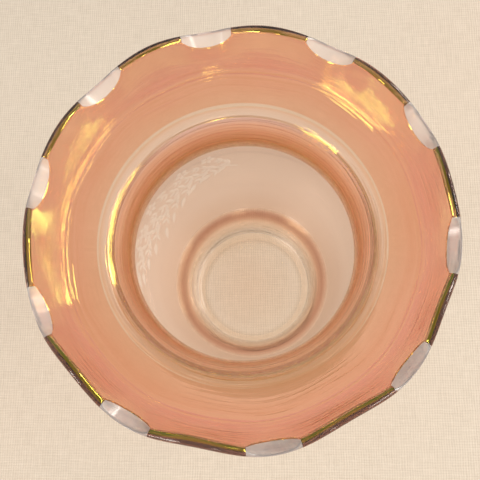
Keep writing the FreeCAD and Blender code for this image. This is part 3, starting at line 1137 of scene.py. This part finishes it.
def satin_frost_group() -> bpy.types.NodeTree:
    """The fine bite of an acid or a wheel.

    Returns:
        The group. Its grain height and its uneven mask each run from 0 to 1.
    """
    sheet, read, out = start_group("satin_frost", {"Grain": 2600.0, "Patch": 110.0}, ["Height", "Mask"])
    place = sheet.stretched()
    sheet.feed(sheet.noise(place, read["Grain"], detail=3.0, rough=0.7), out["Height"])
    sheet.feed(sheet.noise(place, read["Patch"], detail=5.0, rough=0.6), out["Mask"])
    return sheet.tree


@dataclass(frozen=True)
class Effects:
    """The shared node groups."""

    mottle: bpy.types.NodeTree
    ripple: bpy.types.NodeTree
    frost: bpy.types.NodeTree


# ---- finishes ----


CALM_SLOPE = 9.0
LINE_TINT = 2.4
GLASS_INDEX = 1.5
FILM_INDEX = 2.0
RIPPLE_HEIGHT = 0.6 * MM
FROST_HEIGHT = 0.05 * MM


@dataclass(frozen=True)
class Finish:
    """A finish and its material's name. This plain one is for seams inside the glass."""

    name: str

    def make(self, effects: Effects) -> bpy.types.Material:
        """Build the material.

        Args:
            effects: the shared node groups.

        Returns:
            The material.
        """
        material = bpy.data.materials.new(self.name)
        material.use_nodes = True
        sheet = NodeSheet(material.node_tree)
        out = sheet.add("ShaderNodeOutputMaterial")
        sheet.feed(self.shader(sheet, effects), out.inputs["Surface"])
        return material

    def shader(self, sheet: NodeSheet, effects: Effects) -> Socket:
        """Fully clear, as a seam inside the glass can't be seen."""
        return sheet.add("ShaderNodeBsdfTransparent").outputs[0]


@dataclass(frozen=True)
class Glass(Finish):
    """A glass finish.

    The tints are what the two surfaces of one wall let through, at stops up the piece's own zone; some stops
    also paint shade or a highlight into that colour, as the comments where they are set say.
    Ripples fade out at calm_top, a share of the way up. Line values are those of the ripple group.
    """

    tints: Tints
    haze: float = 0.0
    haze_spread: float = 0.03
    clearness: float = 1.0
    mottle: float = 0.0
    mottle_tint: Colour = (0.86, 0.60, 0.50)
    ripple: float = 0.0
    ring: float = 0.5
    line_way: float = 0.0
    line_extra: float = 0.0
    line_height: float = 0.0
    calm_top: float = 2.0
    frost: float = 0.0
    film: float = 0.0
    shine_tint: Colour = (1.0, 1.0, 1.0)
    lamp_tint: Colour = (1.0, 1.0, 1.0)

    def shader(self, sheet: NodeSheet, effects: Effects) -> Socket:
        """Glass that is tinted, hazed and rippled or frosted.

        Args:
            sheet: the material's sheet.
            effects: the shared node groups.

        Returns:
            The shader.
        """
        travel = sheet.attribute("travel")
        colour = sheet.ramp(travel, self.tints) if len(self.tints) > 1 else opaque(self.tints[0][1])
        if self.frost:
            frost = sheet.place(effects.frost).outputs
            mask = frost["Mask"]
            normal = sheet.bump(frost["Height"], self.frost, FROST_HEIGHT)
        else:
            mask = sheet.place(effects.mottle).outputs["Mask"]
            calm = sheet.maths("MULTIPLY", sheet.maths("SUBTRACT", self.calm_top, travel), CALM_SLOPE,
                               clamp=True)
            ripple = sheet.place(effects.ripple, Way=sheet.attribute("way"), Ring=self.ring, Calm=calm,
                                 Line_Way=self.line_way, Line_Extra=self.line_extra,
                                 Line_Height=self.line_height).outputs
            normal = sheet.bump(ripple["Height"], self.ripple, RIPPLE_HEIGHT)
            if self.mottle:
                lined = sheet.maths("MULTIPLY_ADD", ripple["Lines"], LINE_TINT, mask, clamp=True)
                share = sheet.maths("MULTIPLY", lined, self.mottle)
                colour = sheet.blend("MULTIPLY", share, colour, opaque(self.mottle_tint))
        body = sheet.fill(
            sheet.add("ShaderNodeBsdfPrincipled"), Base_Color=colour, Normal=normal,
            Roughness=sheet.maths("MULTIPLY_ADD", mask, self.haze_spread, self.haze),
            Transmission_Weight=self.clearness, IOR=GLASS_INDEX, Specular_Tint=opaque(self.shine_tint),
            Thin_Film_Thickness=self.film, Thin_Film_IOR=FILM_INDEX,
        )
        return self.let_lamps_through(sheet, body)

    def let_lamps_through(self, sheet: NodeSheet, body: bpy.types.Node) -> Socket:
        """Let lamp light and bounced light straight through, tinted, so that no shadow is black.

        Args:
            sheet: the material's sheet.
            body: the glass itself, which every other ray meets.

        Returns:
            The shader.
        """
        path = sheet.add("ShaderNodeLightPath").outputs
        straight = sheet.maths("MAXIMUM", path["Is Shadow Ray"], path["Is Diffuse Ray"])
        through = sheet.fill(sheet.add("ShaderNodeBsdfTransparent"), Color=opaque(self.lamp_tint))
        return sheet.mix_shaders(straight, body.outputs[0], through.outputs[0])


@dataclass(frozen=True)
class WhiteEnamel(Finish):
    """Thin white matt relief that some light shines through."""

    colour: Colour = (1.0, 0.99, 0.97)
    worn: float = 0.95
    haze: float = 0.55
    haze_spread: float = 0.2
    frost: float = 0.35
    shine_through: float = 0.7

    def shader(self, sheet: NodeSheet, effects: Effects) -> Socket:
        """Matt white, mixed with white that glows when it is lit from behind.

        Args:
            sheet: the material's sheet.
            effects: the shared node groups.

        Returns:
            The shader.
        """
        frost = sheet.place(effects.frost).outputs
        worn = tuple(self.worn * part for part in self.colour)
        colour = sheet.blend("MIX", frost["Mask"], opaque(self.colour), opaque(worn))
        body = sheet.fill(
            sheet.add("ShaderNodeBsdfPrincipled"), Base_Color=colour,
            Roughness=sheet.maths("MULTIPLY_ADD", frost["Mask"], self.haze_spread, self.haze),
            Normal=sheet.bump(frost["Height"], self.frost, FROST_HEIGHT),
        )
        glow = sheet.fill(sheet.add("ShaderNodeBsdfTranslucent"), Color=colour)
        return sheet.mix_shaders(self.shine_through, body.outputs[0], glow.outputs[0])


@dataclass(frozen=True)
class Linen(Finish):
    """Pale plain-woven cloth for the floor.

    The slub values are the scale of the uneven threads and how far they are drawn out.
    """

    colour: Colour = (0.89, 0.785, 0.66)
    shade: Colour = (0.66, 0.64, 0.61)
    thread: float = 1.15 * MM
    thread_wander: float = 2.6
    thread_depth: float = 0.2 * MM
    warp_share: float = 0.6
    slub_scale: float = 150.0
    slub_draw: tuple[float, float] = (0.7, 9.0)
    slub_contrast: float = 2.6
    slub_level: float = 0.55
    slub_share: float = 0.6
    weave_share: float = 0.45
    wash_scale: float = 9.0
    wash_share: float = 0.3

    def shader(self, sheet: NodeSheet, effects: Effects) -> Socket:
        """A weave of two sets of threads, with slubs and a washed unevenness.

        Args:
            sheet: the material's sheet.
            effects: the shared node groups, which cloth has no use for.

        Returns:
            The shader.
        """
        place = sheet.stretched()
        across, down = (
            sheet.fill(sheet.add("ShaderNodeTexWave", bands_direction=direction), Vector=place,
                       Scale=math.pi / (10 * self.thread), Distortion=self.thread_wander, Detail=2.0,
                       Detail_Scale=0.6).outputs["Fac"]
            for direction in ("X", "Y")
        )
        weave = sheet.maths("MULTIPLY_ADD", across, self.warp_share,
                            sheet.maths("MULTIPLY", down, 1 - self.warp_share))
        thin, long = self.slub_draw
        warp, weft = (sheet.noise(sheet.stretched(scale), self.slub_scale, detail=3.0, rough=0.65)
                      for scale in ((long, thin, 1.0), (thin, long, 1.0)))
        slubs = sheet.maths("SUBTRACT", sheet.maths("MULTIPLY", sheet.maths("ADD", warp, weft), 0.5), 0.5)
        strong = sheet.maths("MULTIPLY_ADD", slubs, self.slub_contrast, self.slub_level)
        tone = sheet.maths("MULTIPLY_ADD", weave, self.weave_share,
                           sheet.maths("MULTIPLY", strong, self.slub_share), clamp=True)
        low = tuple(part * shade for part, shade in zip(self.colour, self.shade))
        colour = sheet.blend("MIX", tone, opaque(low), opaque(self.colour))
        wash = sheet.noise(place, self.wash_scale, detail=3.0, rough=0.5)
        washed = sheet.maths("MULTIPLY", wash, self.wash_share)
        colour = sheet.blend("MIX", washed, colour, opaque(self.colour))
        body = sheet.fill(
            sheet.add("ShaderNodeBsdfPrincipled"), Base_Color=colour, Roughness=0.95,
            Specular_IOR_Level=0.1, Normal=sheet.bump(weave, 0.5, self.thread_depth),
        )
        return body.outputs[0]


# ---- the vase ----


GOLD = (1.0, 0.90, 0.55)
# Painted shade: a dark maroon for the rounded rim edge. It stands in for the darkness that internal
# reflection gives a glass edge, and is not a colour of the glass.
MAROON_EDGE_SHADE = (0.60, 0.24, 0.17)

MARIGOLD_LUSTRE = Glass(
    "marigold_lustre",
    tints=((0.0, (0.91, 0.29, 0.205)), (0.30, (0.91, 0.215, 0.155)), (0.62, (0.92, 0.28, 0.17)),
           # The last stop, at the rim's crest, is painted shade: the dark edge line that internal reflection
           # gives.
           (0.90, (0.88, 0.27, 0.16)), (1.0, (0.62, 0.14, 0.09))),
    haze_spread=0.02, mottle=0.55, ripple=0.55, ring=0.25, line_way=10.8, line_extra=1.6,
    line_height=0.8, calm_top=0.95, film=222.0, shine_tint=GOLD, lamp_tint=(0.95, 0.60, 0.44),
)
GROUND_SCOOP = Glass(
    "ground_scoop", tints=((0.0, (0.98, 0.92, 0.89)),), haze=0.13, haze_spread=0.10,
    clearness=0.68, frost=0.3, lamp_tint=(0.98, 0.94, 0.91),
)
FLARE_UNDER = Glass(
    "flare_under",
    # The last stop, at the rim's crest, is painted shade for the dark edge line.
    tints=((0.0, (0.98, 0.94, 0.91)), (0.86, (0.98, 0.92, 0.88)), (1.0, (0.62, 0.24, 0.18))),
    haze=0.03, ripple=0.25, calm_top=0.9, lamp_tint=(0.98, 0.93, 0.90),
)
# The rounded edge's finish carries the painted shade of the dark edge line.
RIM_EDGE_SHADE = Glass("rim_edge_shade", tints=((0.0, MAROON_EDGE_SHADE),), haze=0.02, lamp_tint=(0.80, 0.45, 0.36))
# The throat lustre's own colour, deeper towards the waist, with a painted highlight: the pale stops at 0.8
# and 0.9 paint the soft light that the bead's crest catches.
THROAT_TINTS_AND_HIGHLIGHT = (
    (0.0, (0.58, 0.19, 0.12)), (0.45, (0.80, 0.32, 0.23)), (0.66, (0.94, 0.52, 0.41)),
    (0.80, (1.0, 0.775, 0.73)), (0.90, (1.0, 0.755, 0.70)), (1.0, (0.96, 0.58, 0.47)),
)
THROAT_LUSTRE = Glass(
    "throat_lustre", tints=THROAT_TINTS_AND_HIGHLIGHT, haze_spread=0.02, mottle=0.3, ripple=0.5, ring=1.0,
    film=222.0, shine_tint=GOLD, lamp_tint=(0.97, 0.76, 0.64),
)
THROAT_OUTSIDE = Glass(
    "throat_outside", tints=THROAT_TINTS_AND_HIGHLIGHT, haze=0.16, ripple=0.25, shine_tint=GOLD,
    lamp_tint=(0.97, 0.76, 0.64),
)
# Painted shade in the frosted ball's tints: its own pale tint is darkened towards the top, under the
# shoulder, and a little towards the heel at the bottom.
BALL_TINTS_AND_SHADE = (
    (0.0, (0.82, 0.66, 0.56)), (0.2, (0.865, 0.735, 0.66)), (0.75, (0.79, 0.66, 0.60)),
    (1.0, (0.75, 0.53, 0.44)),
)
BALL_INSIDE = Glass(
    "ball_inside", tints=BALL_TINTS_AND_SHADE, haze=0.06, clearness=0.96, ripple=0.1,
    lamp_tint=(0.99, 0.95, 0.93),
)
BALL_FROST = Glass(
    "ball_frost", tints=BALL_TINTS_AND_SHADE, haze=0.42, haze_spread=0.2, clearness=0.86, frost=0.5,
    lamp_tint=(0.97, 0.93, 0.90),
)
HEEL_AMBER = Glass(
    "heel_amber",
    tints=((0.0, (0.94, 0.83, 0.74)), (0.30, (0.91, 0.71, 0.58)), (0.58, (0.63, 0.36, 0.27)),
           (0.78, (0.63, 0.38, 0.30)), (1.0, (0.92, 0.74, 0.62))),
    haze=0.04, mottle=0.2, ripple=0.2, shine_tint=GOLD, lamp_tint=(0.95, 0.82, 0.72),
)
FOOT_CLEAR = Glass(
    "foot_clear",
    tints=((0.0, (0.95, 0.87, 0.80)), (0.8, (0.95, 0.85, 0.76)), (1.0, (0.94, 0.80, 0.68))),
    haze=0.22, haze_spread=0.06, ripple=0.2, lamp_tint=(0.97, 0.95, 0.92),
)
BASE_CLEAR = Glass(
    "base_clear",
    tints=((0.0, (0.97, 0.94, 0.93)), (0.9, (0.97, 0.94, 0.93)), (1.0, (0.88, 0.82, 0.77))),
    haze=0.008, ripple=0.1, lamp_tint=(0.97, 0.95, 0.92),
)


@dataclass
class FlaredVase:
    """The vase: its zones of glass and the white sprays on its ball.

    Each spray is its name, the bearing of its middle in degrees and its seed.
    """

    skin: GlassSkin
    effects: Effects
    seam: Finish = Finish("glass_seam")
    sprays: Sequence[tuple[str, float, int]] = (
        ("white_spray_back", 142.0, 5), ("white_spray_front", 278.0, 8),
    )
    made: dict[str, bpy.types.Material] = field(default_factory=dict)

    def material(self, finish: Finish) -> bpy.types.Material:
        """The material of a finish, made at its first use."""
        if finish.name not in self.made:
            self.made[finish.name] = finish.make(self.effects)
        return self.made[finish.name]

    def dress(self, piece: bpy.types.Object, slot: RecordSlot, *finishes: Finish) -> None:
        """Dress a piece and let it ride the vase's one body.

        Args:
            piece: the piece.
            slot: the record's material slot; not used.
            *finishes: its finishes, in the order of its own slots.
        """
        for finish in finishes:
            piece.data.materials.append(self.material(finish))
        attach(piece, "root")
        LOG.info("%s: %d faces", piece.name, len(piece.data.polygons))

    def build_turned(self, zone: Zone, slot: RecordSlot, inside: Glass, outside: Glass) -> None:
        """Build a turned zone.

        Args:
            zone: the zone.
            slot: the record's material slot.
            inside: the finish of its inner side.
            outside: the finish of its outer side.
        """
        piece = self.skin.turned_piece(zone).build()
        self.dress(piece, slot, inside, outside, self.seam)
        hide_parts(zone.value)

    def build_base_disc(self) -> None:
        """Build the clear disc that closes the foot."""
        piece = self.skin.disc_piece().build()
        self.dress(piece, RecordSlot.CLEAR, BASE_CLEAR, BASE_CLEAR, self.seam)
        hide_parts(Zone.BASE_DISC.value)

    def build_rim_flare(self) -> None:
        """Build the ruffled flare: lustre on top, clear glass below and on the ground scoops."""
        piece = self.skin.flare_piece().build()
        self.dress(piece, RecordSlot.LUSTRE, MARIGOLD_LUSTRE, GROUND_SCOOP, self.seam, FLARE_UNDER, RIM_EDGE_SHADE)
        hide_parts(Zone.RIM_FLARE.value)

    def build_sprays(self) -> None:
        """Build the white spray on the back of the ball, and its fellow on the front."""
        for name, bearing, seed in self.sprays:
            piece = WhiteSpray(name, self.skin.form, bearing, seed).build()
            self.dress(piece, RecordSlot.FROSTED, WhiteEnamel("white_spray"))

    def build(self) -> None:
        """Build every piece, from the foot up."""
        self.build_base_disc()
        self.build_turned(Zone.FOOT_RING, RecordSlot.CLEAR, FOOT_CLEAR, FOOT_CLEAR)
        self.build_turned(Zone.HEEL_RING, RecordSlot.AMBER, HEEL_AMBER, HEEL_AMBER)
        self.build_turned(Zone.FROSTED_BODY, RecordSlot.FROSTED, BALL_INSIDE, BALL_FROST)
        self.build_sprays()
        self.build_turned(Zone.THROAT_RING, RecordSlot.LUSTRE, THROAT_LUSTRE, THROAT_OUTSIDE)
        self.build_rim_flare()


# ---- the stage ----


@dataclass(frozen=True)
class Lamp:
    """A soft square lamp: its bearing in degrees, its place and size in metres, and its watts."""

    name: str
    bearing: float
    height: float
    reach: float
    size: tuple[float, float]
    power: float
    colour: Colour = (1.0, 0.95, 0.88)
    aim: Point3 = (0.0, 0.0, 0.1)

    def hang(self) -> None:
        """Hang the lamp so that it faces the vase."""
        light = bpy.data.lights.new(self.name, "AREA")
        light.shape = "RECTANGLE"
        light.size, light.size_y = self.size
        light.energy = self.power
        light.color = self.colour
        lamp = bpy.data.objects.new(self.name, light)
        turn = math.radians(self.bearing)
        lamp.location = (self.reach * math.cos(turn), self.reach * math.sin(turn), self.height)
        facing = Vector(self.aim) - lamp.location
        lamp.rotation_euler = facing.to_track_quat("-Z", "Y").to_euler()
        bpy.context.scene.collection.objects.link(lamp)


@dataclass
class Stage:
    """The floor, the soft studio light and the camera.

    The glass has many faces one behind the other, so light gets more bounces than usual.
    """

    effects: Effects
    floor_half: float = 1.6
    floor_height: float = -0.2 * MM
    eye: Point3 = (0.0124, -0.0500, 0.3302)
    aim: Point3 = (0.0008, -0.0048, 0.1282)
    lens: float = 51.0
    sensor: float = 36.0
    nearest: float = 0.01
    sky: Colour = (1.0, 0.975, 0.94)
    sky_strength: float = 0.63
    lamps: Sequence[Lamp] = (
        Lamp("window_left", 222.0, 0.38, 0.80, (0.30, 0.24), 2.6),
        Lamp("window_right", 2.0, 0.54, 1.10, (1.25, 0.24), 8.4),
        Lamp("window_front", 280.0, 0.46, 0.90, (0.16, 0.16), 0.7),
        Lamp("window_back", 28.0, 0.50, 1.00, (0.16, 0.34), 1.8),
    )
    glass_bounces: int = 40
    clear_bounces: int = 60

    def lay_floor(self) -> None:
        """Lay a plain pale cloth."""
        corners = [(self.floor_half * x, self.floor_half * y, self.floor_height)
                   for x, y in ((-1, -1), (1, -1), (1, 1), (-1, 1))]
        floor = smooth_piece("floor", corners, [(0, 1, 2, 3)])
        floor.data.materials.append(Linen("pale_linen").make(self.effects))

    def set_sky(self) -> None:
        """Set even warm white light from all round."""
        world = bpy.data.worlds.new("studio")
        world.use_nodes = True
        back = world.node_tree.nodes["Background"]
        back.inputs["Color"].default_value = opaque(self.sky)
        back.inputs["Strength"].default_value = self.sky_strength
        bpy.context.scene.world = world

    def place_camera(self) -> None:
        """Look down into the mouth, a little from the front, with +Y up in the view."""
        data = bpy.data.cameras.new("camera")
        data.lens = self.lens
        data.sensor_width = self.sensor
        data.clip_start = self.nearest
        camera = bpy.data.objects.new("camera", data)
        camera.location = self.eye
        back = (Vector(self.eye) - Vector(self.aim)).normalized()
        right = Vector((0.0, 1.0, 0.0)).cross(back).normalized()
        camera.rotation_euler = Matrix((right, back.cross(right), back)).transposed().to_euler()
        bpy.context.scene.collection.objects.link(camera)
        bpy.context.scene.camera = camera

    def build(self) -> None:
        """Set everything up."""
        self.lay_floor()
        self.set_sky()
        for lamp in self.lamps:
            lamp.hang()
        self.place_camera()
        scene = bpy.context.scene
        scene.view_settings.view_transform = "Standard"
        scene.cycles.max_bounces = self.glass_bounces
        scene.cycles.transmission_bounces = self.glass_bounces
        scene.cycles.transparent_max_bounces = self.clear_bounces


def write_sizes() -> None:
    """Update the view layer, so that every object's matrices are current."""
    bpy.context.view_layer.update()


def main() -> None:
    """Build the vase and its stage."""
    logging.basicConfig(level=logging.INFO, format="%(name)s: %(message)s")
    effects = Effects(lustre_mottle_group(), hand_ripple_group(), satin_frost_group())
    form = SkinForm()
    FlaredVase(GlassSkin(form, FlareForm(form)), effects).build()
    Stage(effects).build()
    write_sizes()


if __name__ == "__main__":
    main()
